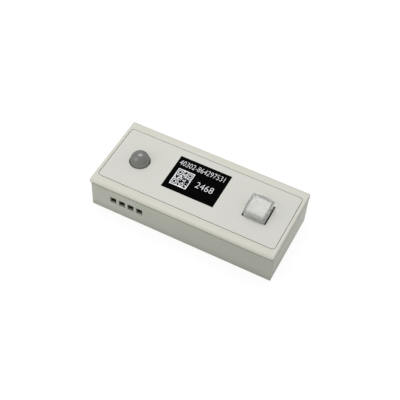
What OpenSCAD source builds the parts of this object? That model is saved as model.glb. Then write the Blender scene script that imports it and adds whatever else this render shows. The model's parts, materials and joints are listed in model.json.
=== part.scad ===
// Electronic shelf label: a two-part moulded housing with a signal lamp, a screen and a confirm button.
// The origin is the centre of the flat underside. X runs along the length, Y to the rear and Z up.
// All sizes are in millimetres. The height of the base follows from what is stacked inside it.

/* [Housing] */
// Length of the housing
body_l = 104; // [102:0.5:130]
// Width of the base at the seam
body_w = 44.8; // [42:0.2:56]
// Thickness of the base's walls
wall_t = 2; // [1.6:0.1:2.2]
// Thickness of the base's floor
floor_t = 2; // [1.5:0.1:3]
// Draft of the base's walls, in degrees
draft_angle = 1.1; // [0.5:0.1:1.4]
// Radius of the housing's upright corners
corner_r = 1.5; // [1:0.1:2]
// Chamfer along the edges of the underside
foot_chamfer = 0.4; // [0.2:0.1:0.8]
// Free height between the terminal block and the floor
floor_gap = 0.4; // [0.3:0.1:6]

/* [Cover] */
// Thickness of the cover plate at its rim
cover_t = 3; // [2.9:0.1:3.4]
// Overhang of the cover's lip along the front and the rear
lip_out = 1.2; // [0.8:0.1:4]
// Radius of the lips' rounded top
lip_r = 2.5; // [2:0.1:3]
// Drop of that rounding at the lips' edge
lip_fall = 1.1; // [0.8:0.1:1.3]
// Thickness of the lips
lip_t = 1.4; // [1.3:0.1:1.8]
// Height of the shadow gap under the lips
seam_h = 0.4; // [0.2:0.1:0.6]
// Depth of the shadow gap under the lips
seam_d = 0.3; // [0.2:0.05:0.5]
// Rounding of the cover's top edge at both ends
end_r = 0.8; // [0.4:0.1:1.2]
// Depth of the tongue that locates the cover in the base
tongue_h = 1.5; // [1:0.1:2]
// Thickness of the tongue
tongue_t = 1.2; // [0.8:0.1:1.4]
// Thickness of the ribs under the cover plate
rib_t = 1.2; // [0.8:0.1:1.4]
// Depth of the ribs under the cover plate
rib_h = 1.5; // [1:0.1:2]

/* [Face sheet] */
// Width of the cover's rim beyond the face sheet at both ends
rim_end = 1.9; // [1.6:0.1:3]
// Width of the cover's rim beyond the face sheet along the front and the rear
rim_side = 5.3; // [4.5:0.1:6]
// Thickness of the face sheet
sheet_t = 0.8; // [0.3:0.1:0.8]
// Corner radius of the face sheet
sheet_r = 2; // [1:0.1:3]

/* [Signal lamp] */
// Distance of the lamp's axis from the left end
lamp_inset = 16.8; // [16.6:0.1:19]
// Diameter of the lamp's dome
lamp_d = 10; // [9:0.1:10.4]
// Height of the lamp from its flange's underside to its crown
lamp_h = 11.4; // [11:0.1:15]
// Width of the lamp's flange beyond the dome
lamp_flange_out = 0.5; // [0.3:0.05:0.8]
// Thickness of the lamp's flange
lamp_flange_t = 1.8; // [1:0.1:2.4]
// Gap between the dome and the edge of its hole
lamp_gap = 0.6; // [0.4:0.05:1]
// Height of the spacer under the lamp
lamp_spacer_h = 0.8; // [0.6:0.1:1.5]
// Pitch of the lamp's wire legs
lead_pitch = 2; // [1.5:0.05:2.1]

/* [Screen] */
// Place of the screen's centre along the length, from the housing's centre
screen_x = -3; // [-4:0.1:1]
// Place of the screen's centre across the width, from the housing's centre
screen_y = 2.2; // [2:0.1:2.6]
// Length of the screen's window
window_l = 29.7; // [26:0.1:31]
// Width of the screen's window
window_w = 22.9; // [20:0.1:23.6]
// Thickness of the window's lens
lens_t = 1.5; // [1.1:0.1:1.8]
// Width of the ledge under the lens
ledge_w = 1.1; // [0.8:0.1:1.5]
// Thickness of the foam gasket
gasket_t = 0.5; // [0.3:0.1:0.8]
// Thickness of the screen's glass
panel_t = 1.4; // [1.2:0.1:1.6]
// Border of the screen's glass beyond the window
panel_border = 2.2; // [1.8:0.1:2.4]
// Wall of the screen's tray
tray_wall = 0.8; // [0.6:0.1:1]
// Width of the screen's flat cable
flex_w = 12; // [8:0.5:16]

/* [Button] */
// Distance of the button's axis from the right end
button_inset = 18.9; // [17:0.1:20]
// Width of the square cap
cap_w = 12; // [11:0.1:13]
// Height of the cap
cap_h = 7.3; // [6:0.1:7.6]
// How far the cap's crown stands above the face sheet
cap_proud = 6.2; // [4.9:0.1:6.5]
// Gap between the cap and the edge of its opening
cap_gap = 0.65; // [0.4:0.05:0.8]
// Gap before and behind the cap
cap_gap_y = 0.45; // [0.4:0.05:0.8]
// Wall of the clear cap
cap_wall = 1.2; // [0.9:0.1:1.5]
// Thickness of the clear cap's top at its crown
cap_top_t = 2.7; // [2.3:0.1:3]
// Radius of the cap's domed top
cap_crown_r = 22; // [18:0.5:30]
// Rounding of the cap's top edges
cap_edge_r = 0.6; // [0.5:0.1:1]
// Corner radius of the cap
cap_r = 1; // [0.8:0.1:2]
// Thickness of the white insert
insert_t = 1.6; // [1:0.1:2]
// Travel of the button
button_travel = 1; // [0.6:0.1:1.1]
// Width of the switch
switch_w = 12; // [11.5:0.1:12.8]
// Outer diameter of the plunger's stem
stem_d = 5; // [4.8:0.1:5.4]
// Wire diameter of the return spring
spring_wire = 0.35; // [0.25:0.01:0.4]
// Turns of the return spring
spring_turns = 6.5; // [5:0.5:6.5]

/* [Terminal] */
// Pitch of the poles
pole_pitch = 5.08; // [5:0.01:5.08]
// Distance of the first pole from the left end
pole_inset = 13.5; // [12.8:0.1:14]
// Width of each wire window in the base's front wall
entry_w = 3.6; // [3:0.1:3.9]
// Height of each wire window
entry_h = 4.2; // [3.2:0.1:4.4]
// Height of the clamp's mouth
mouth_h = 3; // [2.4:0.1:3.2]
// Depth of the terminal block
block_d = 9; // [8.6:0.1:11]
// Travel of the clamping cages
clamp_travel = 2.4; // [1.6:0.1:2.6]

/* [Board] */
// Thickness of the circuit board
board_t = 1.6; // [1.2:0.1:2]
// Free height between the board and the cover plate
board_drop = 3.2; // [3.1:0.1:3.6]
// Diameter of the shanks of the board's screws
board_screw_d = 2; // [1.8:0.1:2.3]
// Length of the board's screws under the head
board_screw_l = 4; // [3.5:0.1:5]

/* [Case screws] */
// Diameter of the shanks of the case screws
case_screw_d = 2.6; // [2.2:0.1:3]
// Length of the case screws under the head
case_screw_l = 11; // [9:0.5:13]
// Height of the joint between the posts of the base and of the cover
post_split = 9; // [8:0.5:10]

/* [Hidden] */
$fn = 64;

// Fits
slide_fit = 0.1;
slot_fit = 0.2;
seat_fit = 0.15;
part_gap = 0.3;
swing_gap = 0.4;

// Terminal stack, counted down from the board
poles = 4;
cage_roof = 0.8;
cage_foot = 1.2;
bar_t = 0.8;
pin_w = 1;
pin_stub = 1.4;
screw_head_h = 1.4;
screw_head_d = 3.7;
screw_shank_d = 2.5;
cage_top_gap = 0.7;
entry_drop = cage_top_gap + cage_roof + mouth_h / 2;
bar_drop = cage_top_gap + cage_roof + mouth_h;
foot_drop = bar_drop + bar_t + slide_fit;
head_drop = foot_drop + cage_foot + clamp_travel + slide_fit;
block_h = head_drop + screw_head_h + 0.3;

// Heights
board_bot = floor_t + floor_gap + block_h;
board_top = board_bot + board_t;
base_h = board_top + board_drop;
top_z = base_h + cover_t;
sheet_z = top_z - sheet_t;
entry_z = board_bot - entry_drop;

// Plan sizes
slope = tan(draft_angle);
function half_at(size, z) = size / 2 - (base_h - z) * slope;
inner_l = body_l - 2 * wall_t;
inner_w = body_w - 2 * wall_t;
cover_w = body_w + 2 * lip_out;
recess_l = body_l - 2 * rim_end;
recess_w = cover_w - 2 * rim_side;

// Posts at the corners
post_d = case_screw_d + 3.4;
base_post_d = post_d + 1;
post_x = inner_l / 2 - post_d / 2 - 0.5;
post_y = inner_w / 2 - post_d / 2 - 0.5;
case_head_d = 2 * case_screw_d - 0.4;
case_head_h = 0.75 * case_screw_d;
case_head_room = 0.4;
case_seat = 5;

inner_r = 0.8;

// Board outline and its screws
board_l = 2 * (post_x - post_d / 2 - swing_gap);
board_w = 2 * (half_at(inner_w, board_bot) - 0.6);
stud_d = board_screw_d + 2.8;
stud_x = board_l / 2 - 3.4;
stud_y = board_w / 2 - 3.2;

// Places along the length
lamp_x = -body_l / 2 + lamp_inset;
button_x = body_l / 2 - button_inset;
pole_1_x = -body_l / 2 + pole_inset;
block_l = poles * pole_pitch + 0.6;
block_x = pole_1_x + (poles - 1) * pole_pitch / 2;
block_front = -half_at(inner_w, floor_t) + 0.3;
block_y = block_front + block_d / 2;
cage_y = block_front + 4.2;
pin_y = block_front + block_d - 1.4;
stud_near_x = block_x + block_l / 2 + 3;
studs = [[-stud_x, stud_y], [stud_near_x, -stud_y], [stud_x, stud_y], [stud_x, -stud_y]];

prop_d = 4;
prop_y = switch_w / 2 + 1.5 + prop_d / 2;

// Screen stack, counted down from the cover plate
panel_l = window_l + 2 * panel_border;
panel_w = window_w + 2 * panel_border;
panel_top = base_h - gasket_t;
panel_bot = panel_top - panel_t;
tray_l = panel_l + 2 * (seat_fit + tray_wall);
tray_w = panel_w + 2 * (seat_fit + tray_wall);
tray_rise = 1.1;
tray_floor = 0.8;
flex_t = 0.16;
flex_z = board_top + 0.8;
flex_tail = 3;
flex_lead = 0.6;
flex_plug = 1.6;
socket_l = 3.6;
socket_side = 1.2;
socket_h = 2 * (flex_z - board_top);
socket_x = screen_x + tray_l / 2 + 4.6;
rib_places = [(lamp_x + lamp_d / 2 + lamp_gap + screen_x - tray_l / 2) / 2,
              (button_x + switch_w / 2 + inner_l / 2 - tongue_t) / 2];

// Button stack
cap_top = top_z + cap_proud;
cap_bot = cap_top - cap_h;
cap_bore = cap_w - 2 * cap_wall;
opening_w = cap_w + 2 * cap_gap;
opening_d = cap_w + 2 * cap_gap_y;
bore_top = cap_top - cap_top_t;
pip_h = 0.1;
pip_d = 1;
insert_top = bore_top - pip_h;
insert_bot = insert_top - insert_t;
skirt_t = 0.8;
skirt_bot = top_z + 0.3;
bore_r = 0.6;
table_w = cap_bore - 2 * (slide_fit + skirt_t + part_gap);
lid_t = 0.8;
lid_top = cap_bot - button_travel - 0.3;
lid_bot = lid_top - lid_t;
flange_t = 0.7;
flange_w = stem_d + 2;
flange_top = lid_bot - 0.05;
flange_bot = flange_top - flange_t;
switch_floor = board_top + 0.6;
bridge_t = 0.2;
stem_bore = stem_d - 1.4;
stem_roof = insert_bot - 1.8;
strip_t = 0.2;
bump_top = flange_bot - bridge_t - button_travel - 0.05;
leg_x = 2.4;
leg_y = 4.6;
peg_d = 1.1;
peg_inset = 1.2;

// Colours for viewing
shell_grey = [0.83, 0.83, 0.8];
sheet_grey = [0.86, 0.86, 0.84];
steel = [0.7, 0.71, 0.73];
brass = [0.78, 0.66, 0.36];
black = [0.1, 0.1, 0.11];
board_green = [0.1, 0.36, 0.22];
block_green = [0.2, 0.5, 0.25];

// Shapes used by several pieces

module rounded_rect(l, w, r) {
    square([l - 2 * r, w], center = true);
    square([l, w - 2 * r], center = true);
    for (sx = [-1, 1], sy = [-1, 1])
        translate([sx * (l / 2 - r), sy * (w / 2 - r)]) circle(r);
}

module along_x(l) {
    rotate([90, 0, 90]) linear_extrude(l, center = true) children();
}

module along_y(w) {
    rotate([90, 0, 0]) linear_extrude(w, center = true) children();
}

module plate(l, w, z0, z1) {
    translate([-l / 2, -w / 2, z0]) cube([l, w, z1 - z0]);
}

module rod(d, z0, z1) {
    translate([0, 0, z0]) cylinder(d = d, h = z1 - z0);
}

module at_corners(x, y) {
    for (sx = [-1, 1], sy = [-1, 1]) translate([sx * x, sy * y, 0]) children();
}

module at_studs() {
    for (p = studs) translate([p[0], p[1], 0]) children();
}

module at_poles() {
    for (i = [0:poles - 1]) translate([pole_1_x + i * pole_pitch, 0, 0]) children();
}

// A face with its upper corners rounded, for the end or side view of a moulded lid
module crowned_face(l, z0, z1, r) {
    translate([-l / 2, z0]) square([l, z1 - z0 - r]);
    translate([-l / 2 + r, z0]) square([l - 2 * r, z1 - z0]);
    for (s = [-1, 1]) translate([s * (l / 2 - r), z1 - r]) circle(r);
}

// A block with draft on all four walls; its plan sizes hold at the seam
function drafted_side(size, z0, z1, c) =
    [[half_at(size, z0) - c, z0], [half_at(size, z0 + c), z0 + c], [half_at(size, z1), z1]];
function mirrored(points) =
    concat(points, [for (i = [len(points) - 1:-1:0]) [-points[i][0], points[i][1]]]);

module drafted_block(l, w, z0, z1, r, c) {
    intersection() {
        along_y(2 * w) polygon(mirrored(drafted_side(l, z0, z1, c)));
        along_x(2 * l) polygon(mirrored(drafted_side(w, z0, z1, c)));
        translate([0, 0, z0])
            linear_extrude(z1 - z0) rounded_rect(2 * half_at(l, z1), 2 * half_at(w, z1), r);
    }
}

// Pan head screw, head down, with a cross recess
module pan_screw(d, l, head_d, head_h, seat_z) {
    difference() {
        union() {
            rod(d, seat_z - 0.1, seat_z + l);
            rod(head_d, seat_z - head_h, seat_z);
        }
        for (a = [0, 90])
            rotate([0, 0, a]) plate(0.62 * head_d, 0.2 * head_d, seat_z - head_h - 1, seat_z - 0.45 * head_h);
    }
}

// Housing

module base_shell() color(shell_grey) difference() {
    union() {
        difference() {
            drafted_block(body_l, body_w, 0, base_h, corner_r, foot_chamfer);
            drafted_block(inner_l, inner_w, floor_t, base_h + 1, inner_r, inner_r / 2);
        }
        at_corners(post_x, post_y) rod(base_post_d, floor_t / 2, post_split);
        for (s = [-1, 1]) translate([button_x, s * prop_y, 0]) rod(prop_d, floor_t / 2, board_bot);
        translate([block_x, block_front + block_d + 0.3 + rib_t / 2, 0])
            plate(block_l, rib_t, floor_t / 2, board_bot - block_h / 2);
    }
    at_corners(post_x, post_y) rod(case_head_d + case_head_room, -1, case_seat);
    at_corners(post_x, post_y) rod(case_screw_d + 0.4, -1, post_split + 1);
    for (s = [-1, 1]) translate([0, s * (body_w / 2 - seam_d + wall_t / 2), 0])
        plate(2 * body_l, wall_t, base_h - seam_h, base_h + 1);
    at_poles() translate([-entry_w / 2, -body_w, entry_z - entry_h / 2])
        cube([entry_w, body_w - inner_w / 2 + 3, entry_h]);
}

// Cross-section of the cover: its front and rear edges are crowned lips that overhang the base
module cover_section() {
    run = sqrt(lip_r * lip_r - pow(lip_r - lip_fall, 2));
    intersection() {
        union() {
            translate([-body_w / 2, base_h]) square([body_w, cover_t]);
            translate([-cover_w / 2, top_z - lip_t]) square([cover_w, lip_t]);
        }
        union() {
            translate([run - cover_w / 2, base_h - 1]) square([cover_w - 2 * run, cover_t + 1]);
            for (s = [-1, 1]) translate([s * (cover_w / 2 - run), top_z - lip_r]) circle(lip_r);
        }
    }
}

module cover_plate() {
    intersection() {
        along_x(2 * body_l) cover_section();
        along_y(2 * cover_w) crowned_face(body_l, base_h - 1, top_z, end_r);
        translate([0, 0, base_h - 1]) linear_extrude(cover_t + 2) rounded_rect(body_l, cover_w, corner_r);
    }
}

module tongue() {
    l = inner_l - 2 * seat_fit;
    w = inner_w - 2 * seat_fit;
    translate([0, 0, base_h - tongue_h]) linear_extrude(tongue_h + 0.5) difference() {
        rounded_rect(l, w, inner_r);
        square([l - 2 * tongue_t, w - 2 * tongue_t], center = true);
    }
}

module top_cover() color(shell_grey) difference() {
    union() {
        cover_plate();
        tongue();
        at_corners(post_x, post_y) rod(post_d, post_split, base_h + 0.5);
        at_studs() rod(stud_d, board_top, base_h + 0.5);
        for (x = rib_places) translate([x, 0, 0])
            plate(rib_t, inner_w - 2 * tongue_t, base_h - rib_h, base_h + 0.5);
    }
    translate([0, 0, sheet_z]) linear_extrude(sheet_t + 1) rounded_rect(recess_l, recess_w, sheet_r);
    translate([lamp_x, 0, 0]) rod(lamp_d + 2 * lamp_gap, base_h - 1, top_z);
    translate([button_x, 0, 0]) plate(opening_w, opening_d, base_h - 1, top_z);
    translate([screen_x, screen_y, 0]) {
        plate(window_l, window_w, top_z - lens_t, top_z + 1);
        plate(window_l - 2 * ledge_w, window_w - 2 * ledge_w, base_h - 1, top_z);
    }
    at_corners(post_x, post_y) rod(case_screw_d + 0.1, post_split - 1, case_seat + case_screw_l + 0.5);
    at_studs() rod(board_screw_d + 0.1, board_top - 1, board_bot + board_screw_l + 0.3);
}

module face_sheet() color(sheet_grey) translate([0, 0, sheet_z]) linear_extrude(sheet_t) difference() {
    rounded_rect(recess_l - 2 * part_gap, recess_w - 2 * part_gap, sheet_r - part_gap);
    translate([lamp_x, 0]) circle(lamp_d / 2 + lamp_gap);
    translate([button_x, 0]) square([opening_w, opening_d], center = true);
    translate([screen_x, screen_y]) square([window_l, window_w], center = true);
}

module case_screws() color(steel)
    at_corners(post_x, post_y) pan_screw(case_screw_d, case_screw_l, case_head_d, case_head_h, case_seat);

// Screen

module display_lens() color(black) translate([screen_x, screen_y, 0])
    plate(window_l - 2 * slide_fit, window_w - 2 * slide_fit, top_z - lens_t, top_z);

module display_gasket() color([0.2, 0.2, 0.21]) translate([screen_x, screen_y, 0]) difference() {
    plate(panel_l - 0.4, panel_w - 0.4, panel_top, base_h);
    plate(window_l - 1, window_w - 1, panel_top - 1, base_h + 1);
}

module display_panel() color([0.16, 0.17, 0.19]) translate([screen_x, screen_y, 0])
    plate(panel_l, panel_w, panel_bot, panel_top);

module display_tray() color([0.93, 0.93, 0.9]) translate([screen_x, screen_y, 0]) difference() {
    union() {
        plate(tray_l, tray_w, board_top, panel_bot + tray_rise);
        for (s = [-1, 1]) translate([s * (tray_l / 2 - 3), s * (tray_w / 2 - 3), 0])
            rod(1.8, board_top - 1.2, panel_bot - tray_floor / 2);
    }
    plate(panel_l + 2 * seat_fit, panel_w + 2 * seat_fit, panel_bot, panel_bot + tray_rise + 1);
    difference() {
        plate(tray_l - 4, tray_w - 4, board_top - 1, panel_bot - tray_floor);
        at_corners(tray_l / 2 - 3, tray_w / 2 - 3) rod(5, board_top - 2, panel_bot);
    }
    translate([panel_l / 2 - flex_tail - swing_gap, -flex_w / 2 - swing_gap, panel_bot - flex_t - slot_fit])
        cube([flex_tail + tray_l, flex_w + 2 * swing_gap, base_h]);
}

// The flat cable leaves the screen's glass level, sinks in an S and runs level into its socket
function s_step(t) = t * t * (3 - 2 * t);
function flex_path() =
    let (x0 = panel_l / 2 - flex_tail, x1 = panel_l / 2 + flex_lead, x2 = socket_x - screen_x - socket_l / 2,
         z0 = panel_bot - flex_t / 2 - 0.02)
    concat([[x0, z0]], [for (i = [0:12]) [x1 + (x2 - x1) * i / 12, z0 + (flex_z - z0) * s_step(i / 12)]],
           [[x2 + flex_plug, flex_z]]);
function path_normal(p, i) =
    let (a = p[max(i - 1, 0)], b = p[min(i + 1, len(p) - 1)], d = (b - a) / norm(b - a)) [-d[1], d[0]];

module display_flex() color([0.75, 0.45, 0.12]) translate([screen_x, screen_y, 0]) along_y(flex_w) {
    path = flex_path();
    upper = [for (i = [0:len(path) - 1]) path[i] + flex_t / 2 * path_normal(path, i)];
    lower = [for (i = [len(path) - 1:-1:0]) path[i] - flex_t / 2 * path_normal(path, i)];
    polygon(concat(upper, lower));
}

module flex_connector() color([0.85, 0.82, 0.72]) translate([socket_x, screen_y, 0]) difference() {
    plate(socket_l, flex_w + 2 * socket_side, board_top, board_top + socket_h);
    translate([-socket_l / 2, 0, 0])
        plate(2 * (flex_plug + part_gap), flex_w + 2 * slot_fit, flex_z - slot_fit, flex_z + slot_fit);
}

// Signal lamp

module lamp_dome() color([0.5, 0.5, 0.48]) translate([lamp_x, 0, board_top + lamp_spacer_h]) rotate_extrude() {
    r = lamp_d / 2;
    square([r + lamp_flange_out, lamp_flange_t]);
    square([r, lamp_h - r]);
    translate([0, lamp_h - r]) intersection() {
        circle(r);
        square(r);
    }
}

module lamp_spacer() color(black) translate([lamp_x, 0, 0]) difference() {
    rod(lamp_d + 0.4, board_top, board_top + lamp_spacer_h);
    rod(lamp_d - 2, board_top - 1, board_top + lamp_spacer_h + 1);
}

module at_leads() {
    for (i = [-1.5:1:1.5]) translate([lamp_x + i * lead_pitch, 0, 0]) children();
}

module lamp_leads() color(steel) at_leads() plate(0.5, 0.5, board_bot - 1.8, board_top + lamp_spacer_h);

// Button and its switch

// The cap's top is part of a ball. Two crossed wheels on the ball's centre round its four top edges.
module rim_wheel(turn) {
    y = cap_w / 2 - cap_edge_r;
    x = sqrt(pow(cap_crown_r - cap_edge_r, 2) - y * y) + 0.06 * cap_edge_r;
    translate([0, 0, cap_top - cap_crown_r]) rotate(turn) rotate_extrude() {
        translate([0, -y]) square([cap_crown_r + cap_edge_r, 2 * y]);
        translate([0, -cap_w / 2]) square([x, cap_w]);
        for (s = [-1, 1]) translate([x, s * y]) circle(cap_edge_r);
    }
}

module cap_dome() {
    intersection() {
        translate([0, 0, cap_bot]) linear_extrude(cap_h + 1) rounded_rect(cap_w, cap_w, cap_r);
        translate([0, 0, cap_top - cap_crown_r]) sphere(cap_crown_r);
        rim_wheel([90, 0, 0]);
        rim_wheel([0, 90, 0]);
    }
}

module button_cap() color([0.9, 0.92, 0.92, 0.5]) translate([button_x, 0, 0]) difference() {
    cap_dome();
    translate([0, 0, cap_bot - 1]) linear_extrude(bore_top - cap_bot + 1)
        rounded_rect(cap_bore, cap_bore, bore_r);
}

// The insert is a cup, mouth down. It meets the cap's top only at four pips, which leaves a film of air
// over its white face.
module button_insert() color([0.95, 0.95, 0.93]) translate([button_x, 0, 0]) {
    w = cap_bore - 2 * slide_fit;
    at_corners(w / 2 - pip_d, w / 2 - pip_d) rod(pip_d, insert_top - pip_h, bore_top);
    difference() {
        translate([0, 0, skirt_bot]) linear_extrude(insert_top - skirt_bot) rounded_rect(w, w, bore_r);
        plate(w - 2 * skirt_t, w - 2 * skirt_t, skirt_bot - 1, insert_bot);
    }
}

module button_plunger() color([0.9, 0.9, 0.88]) translate([button_x, 0, 0]) difference() {
    union() {
        plate(table_w, table_w, insert_bot - 1.2, insert_bot);
        rod(stem_d, flange_bot, insert_bot - 0.6);
        plate(flange_w, flange_w, flange_bot, flange_top);
    }
    rod(stem_bore, flange_bot - 1, stem_roof);
}

module contact_bridge() color(brass) translate([button_x, 0, 0]) difference() {
    plate(flange_w - 0.4, flange_w - 0.4, flange_bot - bridge_t, flange_bot);
    rod(stem_bore + 0.4, flange_bot - 1, flange_bot + 1);
}

module switch_base() color(black) translate([button_x, 0, 0]) difference() {
    plate(switch_w, switch_w, board_top, lid_bot);
    difference() {
        plate(flange_w + 0.8, flange_w + 0.8, switch_floor, lid_bot + 1);
        rod(2, switch_floor - 1, switch_floor + 1.2);
    }
    for (sx = [-1, 1], sy = [-1, 1]) translate([sx * leg_x, sy * leg_y, 0]) {
        plate(1, 0.8, board_top - 1, switch_floor + strip_t + 0.1);
        translate([0, -sy * 0.5, 0]) plate(1.8, 1.8, switch_floor, switch_floor + strip_t + 0.1);
    }
    at_corners(switch_w / 2 - peg_inset, switch_w / 2 - peg_inset)
        rod(peg_d + slot_fit, lid_bot - peg_d - slot_fit, lid_bot + 1);
}

module switch_lid() color([0.16, 0.16, 0.17]) translate([button_x, 0, 0]) difference() {
    union() {
        plate(switch_w, switch_w, lid_bot, lid_top);
        at_corners(switch_w / 2 - peg_inset, switch_w / 2 - peg_inset)
            rod(peg_d, lid_bot - peg_d, lid_bot + lid_t / 4);
    }
    rod(stem_d + 2 * slide_fit, lid_bot - 1, lid_top + 1);
}

module switch_contacts() color(brass) for (s = [-1, 1]) translate([button_x + s * leg_x, 0, 0]) {
    plate(1.6, 2 * leg_y + 0.6, switch_floor, switch_floor + strip_t);
    rod(1.2, switch_floor, bump_top);
    for (sy = [-1, 1]) translate([0, sy * leg_y, 0]) plate(0.8, 0.6, board_bot - 1.2, switch_floor + strip_t);
}

// The coil is one tube swept along a helix
spring_r = (stem_bore - 0.4 - spring_wire) / 2;
spring_z0 = switch_floor + spring_wire / 2 + 0.02;
spring_z1 = stem_roof - spring_wire / 2 - 0.02;
spring_steps = 12;
spring_sides = 6;
spring_n = floor(spring_turns * spring_steps);
function coil_angle(i) = 360 * i / spring_steps;
function coil_point(i, r) =
    [r * cos(coil_angle(i)), r * sin(coil_angle(i)), spring_z0 + (spring_z1 - spring_z0) * i / spring_n];
function coil_ring(i) = [for (j = [0:spring_sides - 1])
    let (b = 360 * j / spring_sides)
    coil_point(i, spring_r + spring_wire / 2 * cos(b)) + [0, 0, spring_wire / 2 * sin(b)]];
coil_gap = min([for (i = [0:spring_n - spring_steps])
    norm(coil_point(i + spring_steps, spring_r) - coil_point(i, spring_r))]) - spring_wire;
echo(coil_gap = coil_gap);

module return_spring() color(steel) translate([button_x, 0, 0]) {
    n = spring_sides;
    points = [for (i = [0:spring_n], p = coil_ring(i)) p];
    sides = [for (i = [0:spring_n - 1], j = [0:n - 1])
        [i * n + j, (i + 1) * n + j, (i + 1) * n + (j + 1) % n, i * n + (j + 1) % n]];
    caps = [[for (j = [0:n - 1]) j], [for (j = [n - 1:-1:0]) spring_n * n + j]];
    polyhedron(points, concat(sides, caps));
}

// Terminal

cage_w = pole_pitch - 1.2;
cage_l = 4.6;
mouth_d = 2;
mouth_w = cage_w - 1;
bar_w = mouth_w - 0.5;
cage_top = board_bot - cage_top_gap;

module terminal_block() color(block_green) difference() {
    translate([block_x, block_y, 0]) plate(block_l, block_d, board_bot - block_h, board_bot);
    at_poles() {
        translate([0, cage_y, 0]) {
            plate(cage_w + 0.4, cage_l + 0.4, board_bot - head_drop, board_bot + 1);
            rod(screw_head_d + 0.3, board_bot - block_h - 1, board_bot);
        }
        translate([-mouth_w / 2, block_front - mouth_d / 2, entry_z - mouth_h / 2])
            cube([mouth_w, 2 * mouth_d, mouth_h]);
        translate([-bar_w / 2 - 0.1, cage_y, board_bot - bar_drop - bar_t - 0.1])
            cube([bar_w + 0.2, pin_y - cage_y + 0.6, bar_drop + bar_t + 1]);
    }
}

module terminal_contacts() color(brass) at_poles() {
    translate([-bar_w / 2, cage_y - cage_l / 2 + 0.2, board_bot - bar_drop - bar_t])
        cube([bar_w, pin_y - cage_y + cage_l / 2 + 0.2, bar_t]);
    translate([0, pin_y, 0]) plate(pin_w, bar_t, board_bot - bar_drop - bar_t, board_top + pin_stub);
}

module terminal_screw(i) color(steel) translate([pole_1_x + (i - 1) * pole_pitch, cage_y, 0]) difference() {
    union() {
        rod(screw_head_d, board_bot - head_drop - screw_head_h, board_bot - head_drop);
        rod(screw_shank_d, board_bot - head_drop - 0.1, board_bot - bar_drop - bar_t - 0.05);
    }
    plate(screw_head_d + 1, 0.7, board_bot - head_drop - screw_head_h - 1, board_bot - head_drop - 0.6);
}

module clamp_cage(i) color(brass) translate([pole_1_x + (i - 1) * pole_pitch, cage_y, 0]) difference() {
    plate(cage_w, cage_l, board_bot - foot_drop - cage_foot, cage_top);
    plate(mouth_w, cage_l + 1, board_bot - foot_drop, cage_top - cage_roof);
    rod(screw_shank_d + 0.3, board_bot - foot_drop - cage_foot - 1, board_bot - foot_drop + 0.5);
}

module terminal_screw_1() terminal_screw(1);
module terminal_screw_2() terminal_screw(2);
module terminal_screw_3() terminal_screw(3);
module terminal_screw_4() terminal_screw(4);
module clamp_cage_1() clamp_cage(1);
module clamp_cage_2() clamp_cage(2);
module clamp_cage_3() clamp_cage(3);
module clamp_cage_4() clamp_cage(4);

// Board and what is soldered to its underside

module main_board() color(board_green) difference() {
    translate([0, 0, board_bot]) linear_extrude(board_t) rounded_rect(board_l, board_w, 1.2);
    at_studs() rod(board_screw_d + 0.3, 0, top_z);
    at_leads() rod(1, 0, top_z);
    at_poles() translate([0, pin_y, 0]) rod(pin_w + 0.6, 0, top_z);
    translate([button_x, 0, 0]) at_corners(leg_x, leg_y) rod(1.3, 0, top_z);
    for (s = [-1, 1]) translate([screen_x + s * (tray_l / 2 - 3), screen_y + s * (tray_w / 2 - 3), 0])
        rod(2.1, 0, top_z);
}

module board_screws() color(steel)
    at_studs() pan_screw(board_screw_d, board_screw_l, 1.9 * board_screw_d, 0.65 * board_screw_d, board_bot);

leg_w = 0.35;
leg_t = 0.3;
leg_l = 1.6;
chip_lift = 0.1;
processor_at = [screen_x + 4.9, screen_y + 0.8];
processor_w = 7;
processor_t = 1.4;
bus_off = [4.9, 15.5];
bus_at = [stud_near_x, -board_w / 2] + bus_off;
bus_l = 4.9;
bus_w = 3.9;
bus_t = 1.5;
regulator_off = [13.9, 9.5];
regulator_at = [screen_x, -board_w / 2] + regulator_off;
regulator_l = 3;
regulator_w = 1.7;
regulator_t = 1.1;
coil_off = [7.5, 0];
coil_at = regulator_at + coil_off;
coil_w = 6;
coil_t = 3;
coil_r = 0.8;
can_off = [0, 13];
can_at = coil_at + can_off;
can_d = 6.3;
can_h = 5.3;
can_rim = 0.25;
can_waist = 1.2;
can_foot_w = 6.6;
can_foot_t = 0.5;
crystal_at = [processor_at[0], board_w / 2 - 7];
crystal_l = 5;
crystal_w = 3.2;
crystal_t = 1.1;
crystal_r = 0.4;
bead_l = 1.6;
bead_w = 0.8;
bead_t = 0.6;
bead_pitch = 2.8;
bead_row = 4;
bead_off = [6, 8.5];
bead_at = [bus_at[0], -board_w / 2] + bead_off;

module gull_legs(count, pitch, reach) {
    for (i = [0:count - 1], s = [-1, 1])
        translate([(i - (count - 1) / 2) * pitch, s * reach, 0])
            plate(leg_w, leg_l, board_bot - leg_t, board_bot);
}

module chip_body(l, w, t) {
    plate(l, w, board_bot - chip_lift - t, board_bot - chip_lift);
}

module processor_chip() color(black) translate(processor_at) {
    chip_body(processor_w, processor_w, processor_t);
    for (a = [0, 90]) rotate([0, 0, a]) gull_legs(8, leg_w + 0.45, (processor_w + leg_l) / 2 - 0.4);
}

module bus_chip() color(black) translate(bus_at) {
    chip_body(bus_l, bus_w, bus_t);
    gull_legs(4, bus_l / 3.86, (bus_w + leg_l) / 2 - 0.35);
}

module regulator_chip() color(black) translate(regulator_at) {
    chip_body(regulator_l, regulator_w, regulator_t);
    gull_legs(3, regulator_l / 3.16, (regulator_w + leg_l) / 2 - 0.45);
}

module power_coil() color([0.25, 0.25, 0.27]) translate([coil_at[0], coil_at[1], board_bot - coil_t])
    linear_extrude(coil_t) rounded_rect(coil_w, coil_w, coil_r);

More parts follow.
